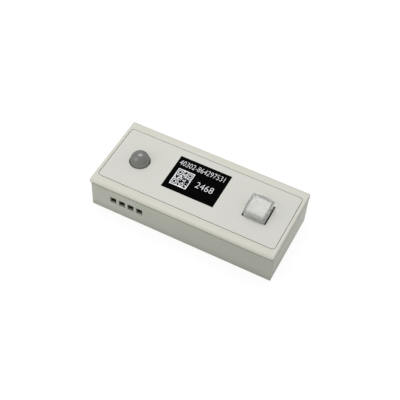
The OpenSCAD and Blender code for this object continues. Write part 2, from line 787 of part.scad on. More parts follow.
// Half of the can from its rim, which points down, to its foot, with the waist that grips the seal
function can_side() = let (r = can_d / 2, c = can_rim, w = can_h - can_waist)
    [[0, 0], [r - c, 0], [r, c], [r, w - 2 * c], [r - c, w - c], [r - c, w], [r, w + c],
     [r, can_h], [0, can_h]];

module buffer_capacitor() color([0.75, 0.76, 0.78]) translate(can_at) {
    plate(can_foot_w, can_foot_w, board_bot - 2 * can_foot_t, board_bot);
    translate([0, 0, board_bot - can_foot_t - can_h]) rotate_extrude() polygon(can_side());
}

module clock_crystal() color(steel) translate([crystal_at[0], crystal_at[1], board_bot - crystal_t])
    linear_extrude(crystal_t) rounded_rect(crystal_l, crystal_w, crystal_r);

module chip_parts() color([0.55, 0.45, 0.35]) translate(bead_at) for (i = [0:bead_row - 1], j = [0:2])
    translate([i * bead_pitch, j * bead_pitch / 1.5, 0]) plate(bead_l, bead_w, board_bot - bead_t, board_bot);

base_shell();
top_cover();
face_sheet();
case_screws();
display_lens();
display_gasket();
display_panel();
display_tray();
display_flex();
flex_connector();
lamp_dome();
lamp_spacer();
lamp_leads();
button_cap();
button_insert();
button_plunger();
contact_bridge();
switch_base();
switch_lid();
switch_contacts();
return_spring();
terminal_block();
terminal_contacts();
terminal_screw_1();
terminal_screw_2();
terminal_screw_3();
terminal_screw_4();
clamp_cage_1();
clamp_cage_2();
clamp_cage_3();
clamp_cage_4();
main_board();
board_screws();
processor_chip();
bus_chip();
regulator_chip();
power_coil();
buffer_capacitor();
clock_crystal();
chip_parts();
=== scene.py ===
import json
import math

import bmesh
import bpy
from mathutils import Matrix, Vector


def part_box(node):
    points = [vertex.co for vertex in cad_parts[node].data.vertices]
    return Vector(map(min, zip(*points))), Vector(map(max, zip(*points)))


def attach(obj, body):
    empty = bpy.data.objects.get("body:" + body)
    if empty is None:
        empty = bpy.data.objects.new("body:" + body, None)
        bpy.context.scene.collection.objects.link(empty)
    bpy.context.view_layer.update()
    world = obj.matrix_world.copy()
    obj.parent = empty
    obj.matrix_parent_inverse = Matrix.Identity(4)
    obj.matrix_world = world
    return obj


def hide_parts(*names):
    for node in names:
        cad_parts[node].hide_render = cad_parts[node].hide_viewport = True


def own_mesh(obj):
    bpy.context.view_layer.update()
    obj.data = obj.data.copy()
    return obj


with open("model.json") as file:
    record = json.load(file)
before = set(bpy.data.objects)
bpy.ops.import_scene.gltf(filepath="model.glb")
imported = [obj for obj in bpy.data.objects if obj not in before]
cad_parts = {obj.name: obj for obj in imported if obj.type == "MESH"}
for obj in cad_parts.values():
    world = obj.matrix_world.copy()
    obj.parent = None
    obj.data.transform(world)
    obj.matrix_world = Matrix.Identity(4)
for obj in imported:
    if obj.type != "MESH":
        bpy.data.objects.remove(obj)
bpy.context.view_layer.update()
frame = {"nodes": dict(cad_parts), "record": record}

MM = 0.001
SAME_PLACE = 1e-6
SHARP_DEGREES = 35
scene = bpy.context.scene
finishes = {}


def linear(red, green, blue):
    """A colour given as 0 to 255, as the shaders take it."""
    parts = [c / 255 for c in (red, green, blue)]
    return tuple(c / 12.92 if c <= 0.04045 else ((c + 0.055) / 1.055) ** 2.4 for c in parts) + (1.0,)


class Wire:
    """An output of a node tree that can stand in a Python sum."""

    def __init__(self, tree, node, socket):
        self.tree = tree
        self.node = node
        self.socket = socket

    def pick(self, name):
        return Wire(self.tree, self.node, self.tree.find(self.node.outputs, name))

    def maths(self, operation, *terms):
        return self.tree.node("ShaderNodeMath", {"operation": operation}, dict(enumerate(terms)))

    def __add__(self, other):
        return self.maths("ADD", self, other)

    def __radd__(self, other):
        return self.maths("ADD", other, self)

    def __sub__(self, other):
        return self.maths("SUBTRACT", self, other)

    def __rsub__(self, other):
        return self.maths("SUBTRACT", other, self)

    def __mul__(self, other):
        return self.maths("MULTIPLY", self, other)

    def __rmul__(self, other):
        return self.maths("MULTIPLY", other, self)

    def __truediv__(self, other):
        return self.maths("DIVIDE", self, other)

    def __rtruediv__(self, other):
        return self.maths("DIVIDE", other, self)

    def __lt__(self, other):
        return self.maths("LESS_THAN", self, other)

    def __gt__(self, other):
        return self.maths("GREATER_THAN", self, other)

    def __abs__(self):
        return self.maths("ABSOLUTE", self)

    def larger(self, other):
        return self.maths("MAXIMUM", self, other)

    def rounded(self):
        return self.maths("ROUND", self)

    def sine(self):
        return self.maths("SINE", self)

    def wrapped(self):
        return self.maths("FRACT", self)


class Tree:
    """A node tree that grows by one method."""

    def __init__(self, tree):
        self.tree = tree

    def find(self, sockets, key):
        if isinstance(key, int):
            return sockets[key]
        for socket in sockets:
            if socket.identifier == key:
                return socket
        return sockets[key]

    def node(self, kind, settings=None, sockets=None, out=0):
        made = self.tree.nodes.new(kind)
        for key, value in (settings or {}).items():
            setattr(made, key, value)
        for key, value in (sockets or {}).items():
            target = self.find(made.inputs, key)
            if isinstance(value, Wire):
                self.tree.links.new(value.socket, target)
            else:
                target.default_value = value
        return Wire(self, made, self.find(made.outputs, out) if len(made.outputs) else None)


class Finish(Tree):
    """A material in the making, on the piece's own coordinates in metres, kept in finishes by its name."""

    def __init__(self, name):
        self.material = bpy.data.materials.new(name)
        finishes[name] = self.material
        self.material.use_nodes = True
        self.material.node_tree.nodes.clear()
        super().__init__(self.material.node_tree)
        self.place = self.node("ShaderNodeTexCoord", out="Object")

    def axis(self, name):
        return self.node("ShaderNodeSeparateXYZ", None, {"Vector": self.place}, name)

    def noise(self, size, detail=2.0, roughness=0.5, stretch=(1, 1, 1)):
        vector = self.place
        if stretch != (1, 1, 1):
            vector = self.node("ShaderNodeMapping", None, {"Vector": vector, "Scale": stretch})
        return self.node("ShaderNodeTexNoise", None, {
            "Vector": vector, "Scale": 1 / size, "Detail": detail, "Roughness": roughness}, "Fac")

    def cells(self, size):
        return self.node("ShaderNodeTexVoronoi", {"feature": "F1"}, {
            "Vector": self.place, "Scale": 1 / size}, "Distance")

    def blend(self, factor, first, second):
        return self.node("ShaderNodeMix", {"data_type": "RGBA"}, {
            "Factor_Float": factor, "A_Color": first, "B_Color": second}, "Result_Color")

    def steps(self, value, low, high):
        """Rises from 0 to 1 between two values, or falls where the first is the larger."""
        return self.node("ShaderNodeMapRange", {"clamp": True}, {
            "Value": value, "From Min": low, "From Max": high, "To Min": 0.0, "To Max": 1.0})

    def bump(self, height, depth):
        return self.node("ShaderNodeBump", None, {
            "Height": height, "Distance": depth, "Strength": 1.0}, "Normal")

    def close(self, sockets):
        shader = self.node("ShaderNodeBsdfPrincipled", None, sockets)
        self.node("ShaderNodeOutputMaterial", None, {"Surface": shader})


class Grower(Tree):
    """A geometry tree in the making, for what repeats."""

    def __init__(self, name, **inputs):
        self.group = bpy.data.node_groups.new(name, "GeometryNodeTree")
        face = self.group.interface
        face.new_socket("Geometry", in_out="OUTPUT", socket_type="NodeSocketGeometry")
        face.new_socket("Geometry", in_out="INPUT", socket_type="NodeSocketGeometry")
        self.values = {}
        for label, value in inputs.items():
            kind = "NodeSocketInt" if isinstance(value, int) else "NodeSocketFloat"
            self.values[face.new_socket(label, in_out="INPUT", socket_type=kind).identifier] = value
        super().__init__(self.group)
        self.entry = self.node("NodeGroupInput", out="Geometry")

    def block_size(self):
        return self.node("ShaderNodeCombineXYZ", None, {
            "X": self.entry.pick("Long"), "Y": self.entry.pick("Wide"), "Z": self.entry.pick("Thick")})

    def position(self):
        return self.node("ShaderNodeSeparateXYZ", None, {"Vector": self.node("GeometryNodeInputPosition")})

    def close(self, geometry, material):
        """Ends the tree with real geometry in one finish."""
        real = self.node("GeometryNodeRealizeInstances", None, {"Geometry": geometry})
        painted = self.node("GeometryNodeSetMaterial", None, {"Geometry": real, "Material": material})
        self.node("NodeGroupOutput", None, {"Geometry": painted})

    def bake(self, name, points=()):
        """The mesh that the tree makes of these points."""
        seed = bpy.data.meshes.new(name + "_points")
        seed.from_pydata(points, [], [])
        holder = bpy.data.objects.new(name + "_points", seed)
        scene.collection.objects.link(holder)
        change = holder.modifiers.new("grow", "NODES")
        change.node_group = self.group
        for identifier, value in self.values.items():
            change[identifier] = value
        mesh = bpy.data.meshes.new_from_object(holder.evaluated_get(bpy.context.evaluated_depsgraph_get()))
        mesh.name = name
        bpy.data.objects.remove(holder)
        return mesh


def moulded_plastic(name, colour, tint, roughness, grain=0.22 * MM, depth=0.012 * MM):
    """Injection moulded plastic: a slow drift of tone, spark-eroded grain and a few shinier rubbed spots."""
    made = Finish(name)
    drift = made.noise(28 * MM, 3)
    grain_height = made.noise(grain, 3, 0.6)
    rubbed = made.steps(made.noise(9 * MM, 4, 0.65), 0.62, 0.8)
    made.close({
        "Base Color": made.blend(made.steps(drift, 0.3, 0.7), colour, tint),
        "Roughness": roughness + (grain_height - 0.5) * 0.16 - rubbed * 0.08,
        "Normal": made.bump(grain_height, depth)})


def worked_metal(name, colour, stain, roughness=0.28, along=(1, 1, 12)):
    """Plated or drawn metal: fine lines of working and stains."""
    made = Finish(name)
    lines = made.noise(0.9 * MM, 4, 0.6, along)
    clouds = made.noise(2.4 * MM, 3)
    made.close({
        "Base Color": made.blend(made.steps(clouds, 0.4, 0.75), colour, stain),
        "Roughness": roughness + (lines - 0.5) * 0.2,
        "Metallic": 1.0,
        "Normal": made.bump(lines * 0.15, 0.03 * MM)})


COVER = linear(214, 212, 201)
COVER_TINT = linear(211, 210, 198)
BASE = linear(216, 219, 203)
BASE_TINT = linear(212, 215, 200)
# The dark colour that the shells' painted shade blends towards
PAINTED_SHADE = linear(58, 56, 44)
FILM = linear(213, 213, 205)
FILM_TINT = linear(211, 211, 204)
FRESH_WHITE = linear(224, 224, 218)
BRIGHT_STEEL = linear(198, 200, 204)
STAINED_STEEL = linear(168, 170, 174)

# The row of wire windows in the base's front wall
WINDOW_PITCH = 5.08 * MM
WINDOW_FIRST = -38.5 * MM
WINDOW_MIDDLE = WINDOW_FIRST + 1.5 * WINDOW_PITCH
WINDOW_LEVEL = 10.2 * MM
WINDOW_FACE = -22.25 * MM


def housing_plastic():
    """The two shells: the base a shade greener than the cover, painted shade under the cover's edge and
    towards the foot, and painted shade that darkens the wire windows towards their inner ends."""
    made = Finish("housing_plastic")
    x = made.axis("X")
    y = made.axis("Y")
    z = made.axis("Z")
    drift = made.steps(made.noise(28 * MM, 3), 0.3, 0.7)
    grain = made.noise(0.22 * MM, 3, 0.6)
    rubbed = made.steps(made.noise(9 * MM, 4, 0.65), 0.62, 0.8)
    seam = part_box("base_shell")[1].z
    is_base = z < seam - 0.02 * MM
    tone = made.blend(
        is_base, made.blend(drift, COVER, COVER_TINT), made.blend(drift, BASE, BASE_TINT))
    # Painted shade: the base's wall darkens just below the cover's edge, where the lip overhangs it
    painted_shade_under_lip = made.steps(z, seam - 0.9 * MM, seam - 0.4 * MM) * is_base * 0.45
    # Painted shade: the base darkens towards its foot, where the floor shades it
    low = made.steps(z, 8 * MM, 0.5 * MM)
    foot = low * low * 0.28
    # Painted shade: the wire windows darken towards their inner ends, where the housing's inside lies in
    # shadow
    depth = made.steps(y, WINDOW_FACE + 0.05 * MM, WINDOW_FACE + 1.7 * MM)
    across = abs((x / WINDOW_PITCH - WINDOW_FIRST / WINDOW_PITCH + 0.5).wrapped() - 0.5)
    in_row = (abs(x - WINDOW_MIDDLE) < 2 * WINDOW_PITCH) * (across < 1.86 * MM / WINDOW_PITCH)
    in_window = in_row * (abs(z - WINDOW_LEVEL) < 2.2 * MM) * (y < WINDOW_FACE + 2.4 * MM)
    # All the painted shades of the shells together, each blended towards the shade colour
    shade = painted_shade_under_lip.larger(foot).larger(depth * in_window * 0.97)
    made.close({
        "Base Color": made.blend(shade, tone, PAINTED_SHADE),
        "Roughness": 0.45 + (grain - 0.5) * 0.16 - rubbed * 0.08,
        "Normal": made.bump(grain, 0.012 * MM)})


def face_film():
    """Matt printed film: even face, its cut edge painted dark as shade in the gap round the sheet."""
    made = Finish("face_film")
    z = made.axis("Z")
    drift = made.steps(made.noise(28 * MM, 3), 0.3, 0.7)
    grain = made.noise(0.12 * MM, 3, 0.6)
    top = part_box("face_sheet")[1].z
    # Painted shade: the film's side faces are darkened, deepening the gap line round the sheet
    cut = made.steps(z, top - 0.02 * MM, top - 0.08 * MM)
    made.close({
        "Base Color": made.blend(cut, made.blend(drift, FILM, FILM_TINT), linear(120, 118, 108)),
        "Roughness": 0.5 + (grain - 0.5) * 0.16,
        "Normal": made.bump(grain, 0.004 * MM)})


def dark_lens():
    """Black-tinted cover lens with an anti-glare coat and a few faint smears."""
    made = Finish("dark_lens")
    smear = made.noise(5 * MM, 4, 0.6, (1, 2.5, 1))
    made.close({
        "Base Color": made.blend(
            made.steps(smear, 0.45, 0.8), (0.0012, 0.0012, 0.0013, 1), (0.003, 0.003, 0.0032, 1)),
        "Roughness": 0.16 + made.steps(smear, 0.5, 0.8) * 0.1,
        "Specular IOR Level": 0.01})


def lamp_resin():
    """Grey resin with painted light along its lower flank, glossy in front and dusty towards the rear."""
    made = Finish("lamp_resin")
    y = made.axis("Y")
    z = made.axis("Z")
    clouds = made.noise(3 * MM, 3)
    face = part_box("face_sheet")[1].z
    # Painted light: the dome's colour lightens towards its lower flank, where the panel is reflected in it
    painted_flank_light = made.steps(z, face + 4 * MM, face - 0.5 * MM)
    dusty = made.steps(y, 1.5 * MM, 4 * MM)
    dome = made.blend(clouds, linear(70, 71, 64), linear(77, 78, 71))
    made.close({
        "Base Color": made.blend(painted_flank_light * painted_flank_light, dome, linear(168, 169, 163)),
        "Roughness": 0.34 + clouds * 0.1 + dusty * 0.55,
        "Specular IOR Level": 0.0,
        "Coat Weight": 0.92 + clouds * 0.1 - dusty * 0.92,
        "Coat Roughness": 0.33,
        "Coat IOR": 2.15})


def clear_plastic():
    """Clear moulded cap with flow marks in its walls and painted shade on its rear and left walls, matt
    below the panel's face where it slides, with painted shade there on the right side.
    """
    made = Finish("clear_plastic")
    low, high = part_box("button_cap")
    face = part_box("face_sheet")[1].z
    half = (high.x - low.x) / 2
    x = made.axis("X")
    y = made.axis("Y")
    z = made.axis("Z")
    off_x = x - (low.x + high.x) / 2
    off_y = y - (low.y + high.y) / 2
    reach = abs(off_x).larger(abs(off_y))
    flow = made.noise(0.8 * MM, 3, 0.6, (0.5, 0.5, 1.6))
    wall = reach > half - 0.1 * MM
    # Painted shade: the matt part below the panel's face is black on the cap's right side, pale grey
    # elsewhere
    in_shade = wall * (off_x > abs(off_y))
    # Painted shade: the rear and left walls are tinted darker and the front and right walls lighter, by side
    # alone
    painted_shade_side = made.steps(off_y - off_x, -0.2 * half, 0.2 * half)
    marks = made.steps(flow, 0.35, 0.65)
    marks_and_painted_shade = made.blend(
        painted_shade_side,
        made.blend(marks, (0.9, 0.9, 0.89, 1), (1, 1, 0.99, 1)),
        made.blend(marks, (0.34, 0.34, 0.335, 1), (0.7, 0.7, 0.69, 1)))
    clear = made.node("ShaderNodeBsdfPrincipled", None, {
        "Base Color": made.blend(wall, (0.94, 0.945, 0.94, 1), marks_and_painted_shade),
        "Roughness": 0.3 + flow * 0.04 - wall * 0.16,
        "IOR": 1.28,
        "Transmission Weight": 0.87,
        "Normal": made.bump(flow * wall, 0.01 * MM)})
    matt = made.node("ShaderNodeBsdfPrincipled", None, {
        "Base Color": made.blend(in_shade, (0.85, 0.85, 0.83, 1), (0.015, 0.015, 0.015, 1)),
        "Roughness": 0.6 + flow * 0.1})
    sunk = made.steps(z, face + 0.02 * MM, face - 0.05 * MM)
    both = made.node("ShaderNodeMixShader", None, {0: sunk, 1: clear, 2: matt})
    made.node("ShaderNodeOutputMaterial", None, {"Surface": both})


def screen_glass():
    """The screen's dark glass behind the lens."""
    made = Finish("screen_glass")
    clouds = made.noise(6 * MM, 2)
    made.close({
        "Base Color": made.blend(clouds, linear(22, 23, 27), linear(30, 31, 36)),
        "Roughness": 0.08 + clouds * 0.05})


def board_laminate():
    """Green solder mask over woven glass, with copper tracks and plated through-holes showing in it."""
    made = Finish("board_laminate")
    x = made.axis("X")
    y = made.axis("Y")
    strands = 2 * math.pi / (0.5 * MM)
    weave = (x * strands).sine() * (y * strands).sine()
    lane = (y / (1.6 * MM) + (made.noise(7 * MM, 0) > 0.52) * 0.5).wrapped()
    track = (abs(lane - 0.5) < 0.18) * (made.noise(11 * MM, 0) > 0.44)
    from_hole = made.cells(4.2 * MM)
    ring = from_hole < 0.1
    bore = from_hole < 0.045
    mask = made.blend(track, linear(22, 84, 50), linear(38, 112, 66))
    plated = made.blend(bore, linear(196, 178, 128), linear(30, 30, 28))
    made.close({
        "Base Color": made.blend(ring, mask, plated),
        "Roughness": 0.34 - track * 0.06 - ring * 0.05,
        "Metallic": ring * (1 - bore),
        "Normal": made.bump(track + weave * 0.08 - bore, 0.03 * MM)})


def flex_film():
    """Amber film over a row of copper tracks that run the length of the cable."""
    made = Finish("flex_film")
    y = made.axis("Y")
    clouds = made.noise(4 * MM, 3)
    track = abs((y / (0.5 * MM)).wrapped() - 0.5) < 0.24
    film = made.blend(clouds, linear(188, 116, 36), linear(172, 102, 30))
    made.close({
        "Base Color": made.blend(track, film, linear(204, 140, 62)),
        "Roughness": 0.28 + clouds * 0.08,
        "Normal": made.bump(track, 0.02 * MM)})


def capacitor_can():
    """Drawn aluminium can with the dark polarity mark on its end."""
    made = Finish("capacitor_can")
    low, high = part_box("buffer_capacitor")
    x = made.axis("X")
    z = made.axis("Z")
    lines = made.noise(0.9 * MM, 4, 0.6, (1, 1, 12))
    mark = (x < (low.x + high.x) / 2 - 1.3 * MM) * (z < low.z + 0.3 * MM)
    made.close({
        "Base Color": made.blend(mark, linear(204, 206, 209), linear(40, 40, 44)),
        "Roughness": 0.3 + (lines - 0.5) * 0.2 + mark * 0.2,
        "Metallic": 1 - mark,
        "Normal": made.bump(lines, 0.01 * MM)})


def lit_dots():
    """The lit part of the screen, with the fine grid of its dots."""
    made = Finish("lit_dots")
    x = made.axis("X")
    y = made.axis("Y")
    dot = 0.16 * MM
    across = abs((x / dot).wrapped() - 0.5)
    along = abs((y / dot).wrapped() - 0.5)
    grid = made.steps(across.larger(along), 0.4, 0.5)
    made.close({
        "Base Color": (0.02, 0.02, 0.02, 1),
        "Roughness": 0.3 + grid * 0.2,
        "Emission Color": made.blend(grid, (0.97, 0.98, 1.0, 1), (0.72, 0.74, 0.76, 1)),
        "Emission Strength": 1.0})


moulded_plastic("white_plastic", FRESH_WHITE, linear(218, 218, 211), roughness=0.4)
moulded_plastic("black_plastic", linear(34, 34, 36), linear(42, 42, 43), roughness=0.5)
moulded_plastic("socket_plastic", linear(221, 212, 190), linear(212, 202, 178), roughness=0.5)
moulded_plastic("terminal_plastic", linear(26, 31, 24), linear(32, 38, 30), roughness=0.5)
moulded_plastic(
    "gasket_foam", linear(44, 44, 46), linear(58, 58, 60), roughness=0.85, grain=0.3 * MM, depth=0.08 * MM)
moulded_plastic(
    "coil_ferrite", linear(62, 62, 66), linear(74, 73, 76), roughness=0.6, grain=0.15 * MM, depth=0.02 * MM)
moulded_plastic("chip_resin", linear(36, 36, 38), linear(46, 46, 48), roughness=0.6, grain=0.08 * MM)
moulded_plastic("chip_ceramic", linear(150, 118, 88), linear(136, 104, 76), roughness=0.45)
worked_metal("plated_steel", BRIGHT_STEEL, STAINED_STEEL)
worked_metal("spring_steel", linear(178, 180, 184), linear(150, 150, 152))
worked_metal("tinned_wire", linear(206, 207, 208), linear(182, 183, 184), roughness=0.32)
worked_metal("contact_brass", linear(206, 176, 104), linear(178, 146, 82))
worked_metal("cage_brass", linear(212, 204, 182), linear(190, 178, 148), roughness=0.34)
worked_metal("crystal_can", linear(200, 200, 198), linear(176, 174, 168), roughness=0.3)
worked_metal("solder", linear(196, 197, 198), linear(164, 165, 167), roughness=0.36, along=(1, 1, 1))
housing_plastic()
face_film()
dark_lens()
lamp_resin()
clear_plastic()
screen_glass()
board_laminate()
flex_film()
capacitor_can()
lit_dots()

joint_of = {joint["name"]: joint for joint in frame["record"]["behaviour"]["joints"]}
slot_of = {part["node"]: part["material_slot"] for part in frame["record"]["subparts"]}
body_of = {node: body for body, nodes in frame["record"]["behaviour"]["bodies"].items() for node in nodes}


def add_piece(name, mesh, body, slot, *stands_for):
    """A new piece on a body, in place of the solids it stands for."""
    piece = bpy.data.objects.new(name, mesh)
    scene.collection.objects.link(piece)
    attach(piece, body)
    if stands_for:
        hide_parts(*stands_for)
    return piece


def softened(node, width, segments=2):
    """A merged copy of a solid with its sharp edges rounded as a mould leaves them."""
    mesh = frame["nodes"][node].data.copy()
    shape = bmesh.new()
    shape.from_mesh(mesh)
    bmesh.ops.remove_doubles(shape, verts=shape.verts, dist=SAME_PLACE)
    bmesh.ops.dissolve_limit(
        shape, angle_limit=math.radians(0.5), verts=shape.verts, edges=shape.edges)
    for face in shape.faces:
        face.smooth = True
    shape.to_mesh(mesh)
    shape.free()
    mesh.set_sharp_from_angle(angle=math.radians(SHARP_DEGREES))
    mesh.materials.clear()
    mesh.materials.append(finishes[slot_of[node]])
    piece = add_piece(node + "_softened", mesh, body_of[node], slot_of[node], node)
    if width:
        bevel = piece.modifiers.new("edges", "BEVEL")
        bevel.width = width
        bevel.segments = segments
        bevel.limit_method = "ANGLE"
        bevel.angle_limit = math.radians(SHARP_DEGREES)
        bevel.harden_normals = True
    return piece


for node, solid in frame["nodes"].items():
    solid.data.materials.clear()
    solid.data.materials.append(finishes[slot_of[node]])

softened("base_shell", 0.2 * MM)
softened("top_cover", 0.15 * MM)
softened("face_sheet", 0.05 * MM, 1)
softened("display_lens", 0.1 * MM)
softened("lamp_dome", 0.1 * MM)
softened("button_cap", 0.2 * MM)

# The insert's four pips stop a hair below the cap, so that no two faces share a place
insert = softened("button_insert", 0.02 * MM, 1)
pip_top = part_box("button_insert")[1].z
for vertex in insert.data.vertices:
    if vertex.co.z > pip_top - 0.01 * MM:
        vertex.co.z -= 0.04 * MM


def with_second(node, finish, is_second):
    """A merged copy of a solid with a second finish on the faces that the test picks out."""
    piece = softened(node, 0)
    piece.data.materials.append(finishes[finish])
    for face in piece.data.polygons:
        if is_second(face.center):
            face.material_index = 1


NO_LEGS = -1


def outside_body(node, side, end):
    """Tells the points of a chip outside its resin body, given how far its legs reach in X and in Y."""
    low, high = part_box(node)
    middle = (low + high) / 2
    half = (high - low) / 2
    return lambda p: abs(p.x - middle.x) > half.x - side or abs(p.y - middle.y) > half.y - end


def loose_parts(node):
    """The separate solids of a node, each as a list of points."""
    shape = bmesh.new()
    shape.from_mesh(frame["nodes"][node].data)
    bmesh.ops.remove_doubles(shape, verts=shape.verts, dist=SAME_PLACE)
    reached = set()
    parts = []
    for first in shape.verts:
        if first in reached:
            continue
        reached.add(first)
        front = [first]
        points = []
        while front:
            vertex = front.pop()
            points.append(vertex.co.copy())
            for edge in vertex.link_edges:
                near = edge.other_vert(vertex)
                if near not in reached:
                    reached.add(near)
                    front.append(near)
        parts.append(points)
    shape.free()
    return parts


def corners_of(points):
    """The least and the greatest corner of the box round these points."""
    return [Vector([pick(p[i] for p in points) for i in range(3)]) for pick in (min, max)]


def shank_of(points):
    """Axis, radius, foot and top of an upright screw's shank, the tallest ring of points within its head."""
    low, high = corners_of(points)
    middle = (low + high).xy / 2
    rings = {}
    for p in points:
        reach = (p.xy - middle).length
        if reach < 0.75 * (high.x - low.x) / 2:
            rings.setdefault(round(reach / MM, 2), []).append(p.z)
    ring = max(rings, key=lambda r: max(rings[r]) - min(rings[r]))
    return middle, ring * MM, min(rings[ring]), max(rings[ring])


def on_shank(vertex, middle, radius):
    """Tells whether a point lies on the side of a shank with this axis."""
    return abs((vertex.co.xy - middle).length - radius) < 0.02 * MM


def cut_thread(shape, pitch, depth, middle, radius, foot, top):
    """Cuts a right-hand groove into one shank, shallower towards both ends."""
    rows_per_turn = 8
    rows = round((top - foot) / pitch * rows_per_turn)
    sides = [e for e in shape.edges if all(on_shank(v, middle, radius) for v in e.verts)
             and abs(e.verts[0].co.z - e.verts[1].co.z) > 0.9 * (top - foot)]
    bmesh.ops.subdivide_edges(shape, edges=sides, cuts=rows - 1, use_grid_fill=True)
    for vertex in shape.verts:
        runout = min(vertex.co.z - foot, top - vertex.co.z, pitch / 2) / (pitch / 2)
        if runout < 1e-3 or not on_shank(vertex, middle, radius):
            continue
        spoke = vertex.co.xy - middle
        phase = (vertex.co.z / pitch - math.atan2(spoke.y, spoke.x) / (2 * math.pi)) % 1
        cut = depth * runout * (1 - abs(2 * phase - 1)) / radius
        vertex.co.x -= spoke.x * cut
        vertex.co.y -= spoke.y * cut


def threaded(node, pitch, depth):
    """A merged copy of upright screws with a thread on their shanks."""
    piece = softened(node, 0)
    shape = bmesh.new()
    shape.from_mesh(piece.data)
    for points in loose_parts(node):
        cut_thread(shape, pitch, depth, *shank_of(points))
    for face in shape.faces:
        face.smooth = True
    shape.to_mesh(piece.data)
    shape.free()
    piece.data.set_sharp_from_angle(angle=math.radians(SHARP_DEGREES))


def chip_ends(name):
    """A tinned cap on both ends of each small chip part."""
    places = []
    cap_share = 0.3
    plating = 0.03 * MM
    for points in loose_parts("chip_parts"):
        low, high = corners_of(points)
        size = high - low
        middle = (low + high) / 2
        inset = cap_share / 2 * size.x
        for end in (low.x + inset, high.x - inset):
            places.append((end, middle.y, middle.z))
    grower = Grower(
        name, Long=cap_share * size.x + plating, Wide=size.y + plating, Thick=size.z + plating)
    cap = grower.node("GeometryNodeMeshCube", None, {"Size": grower.block_size()}, "Mesh")
    row = grower.node("GeometryNodeInstanceOnPoints", None, {"Points": grower.entry, "Instance": cap})
    grower.close(row, finishes["tinned_wire"])
    add_piece(name, grower.bake(name, places), "housing", "tinned_wire")


def pin_places(node, level, side):
    """Where a node's pins stand out of the board's face at that level, and half a pin's width."""
    places = []
    for points in loose_parts(node):
        pins = []
        for p in points:
            if side * (p.z - level) < 0.2 * MM:
                continue
            for pin in pins:
                if (pin[0] - p).xy.length < 1.6 * MM:
                    pin.append(p)
                    break
            else:
                pins.append([p])
        for pin in pins:
            middle = sum(pin, Vector()) / len(pin)
            half = max(abs(p.x - middle.x) for p in pin)
            places.append((middle.x, middle.y, level))
    return places, half


def solder_joints(name, node, level, side):
    """A hollow-flanked cone of solder round each pin."""
    places, half = pin_places(node, level, side)
    turn = 0.0 if side > 0 else math.pi
    grower = Grower(
        name, Foot=half + 0.5 * MM, Neck=half * 0.8, Rise=0.4 * MM + half * 0.6, Turn=turn)
    rise = grower.entry.pick("Rise")
    cone = grower.node("GeometryNodeMeshCone", {"fill_type": "NGON"}, {
        "Vertices": 16, "Side Segments": 4, "Depth": rise,
        "Radius Top": grower.entry.pick("Neck"), "Radius Bottom": grower.entry.pick("Foot")}, "Mesh")
    spot = grower.position()
    share = spot.pick("Z") / rise
    hollow = 1 - share * (1 - share) * 0.7
    pulled = grower.node("ShaderNodeCombineXYZ", None, {
        "X": spot * hollow, "Y": spot.pick("Y") * hollow, "Z": spot.pick("Z")})
    shaped = grower.node("GeometryNodeSetPosition", None, {"Geometry": cone, "Position": pulled})
    joint = grower.node("GeometryNodeSetShadeSmooth", None, {"Geometry": shaped})
    turned = grower.node("ShaderNodeCombineXYZ", None, {"X": grower.entry.pick("Turn")})
    joints = grower.node("GeometryNodeInstanceOnPoints", None, {
        "Points": grower.entry, "Instance": joint, "Rotation": turned})
    grower.close(joints, finishes["solder"])
    add_piece(name, grower.bake(name, places), "housing", "tinned_wire")


def socket_tails(name):
    """The row of bent tails along the cable socket's far side."""
    low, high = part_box("flex_connector")
    count = 24
    pitch = 0.5 * MM
    first = (low.y + high.y) / 2 - (count - 1) / 2 * pitch
    places = [(high.x + 0.3 * MM, first + i * pitch, low.z + 0.06 * MM) for i in range(count)]
    grower = Grower(name, Long=0.6 * MM, Wide=0.2 * MM, Thick=0.1 * MM)
    tail = grower.node("GeometryNodeMeshCube", None, {"Size": grower.block_size(), "Vertices X": 4}, "Mesh")
    lift = (-1 * grower.position() / grower.entry.pick("Long")).larger(0.0) * 0.2 * MM
    bent = grower.node("GeometryNodeSetPosition", None, {
        "Geometry": tail, "Offset": grower.node("ShaderNodeCombineXYZ", None, {"Z": lift})})
    row = grower.node("GeometryNodeInstanceOnPoints", None, {"Points": grower.entry, "Instance": bent})
    grower.close(row, finishes["tinned_wire"])
    add_piece(name, grower.bake(name, places), "housing", "tinned_wire")


def wound_spring(name):
    """The return spring as round wire, its end turns closer than the rest."""
    low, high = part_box("return_spring")
    wire = 0.175 * MM
    free = high.z - low.z
    grower = Grower(
        name, Turns=6.5, Coil=(high.x - low.x) / 2 - wire, Wire=wire, Rise=free - 2 * wire)
    coil = grower.entry.pick("Coil")
    spiral = grower.node("GeometryNodeCurveSpiral", None, {
        "Resolution": 36, "Rotations": grower.entry.pick("Turns"), "Start Radius": coil, "End Radius": coil,
        "Height": grower.entry.pick("Rise")})
    share = grower.node("GeometryNodeSplineParameter", out="Factor")
    spot = grower.position()
    climb = (share - (share * (2 * math.pi)).sine() * 0.07) * grower.entry.pick("Rise")
    wound = grower.node("GeometryNodeSetPosition", None, {
        "Geometry": spiral, "Position": grower.node("ShaderNodeCombineXYZ", None, {
            "X": spot, "Y": spot.pick("Y"), "Z": climb})})
    ring = grower.node("GeometryNodeCurvePrimitiveCircle", None, {
        "Resolution": 10, "Radius": grower.entry.pick("Wire")}, "Curve")
    rod = grower.node("GeometryNodeCurveToMesh", None, {
        "Curve": wound, "Profile Curve": ring, "Fill Caps": True})
    smooth = grower.node("GeometryNodeSetShadeSmooth", None, {"Geometry": rod})
    grower.close(smooth, finishes["spring_steel"])
    mesh = grower.bake(name)
    foot = Vector(((low.x + high.x) / 2, (low.y + high.y) / 2, low.z))
    mesh.transform(Matrix.Translation(foot + Vector((0, 0, wire))))
    piece = add_piece(name, mesh, "housing", "spring_steel", "return_spring")
    travel = joint_of["button_press"]["range_m"][1]
    (free - travel) / free
    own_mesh(piece)


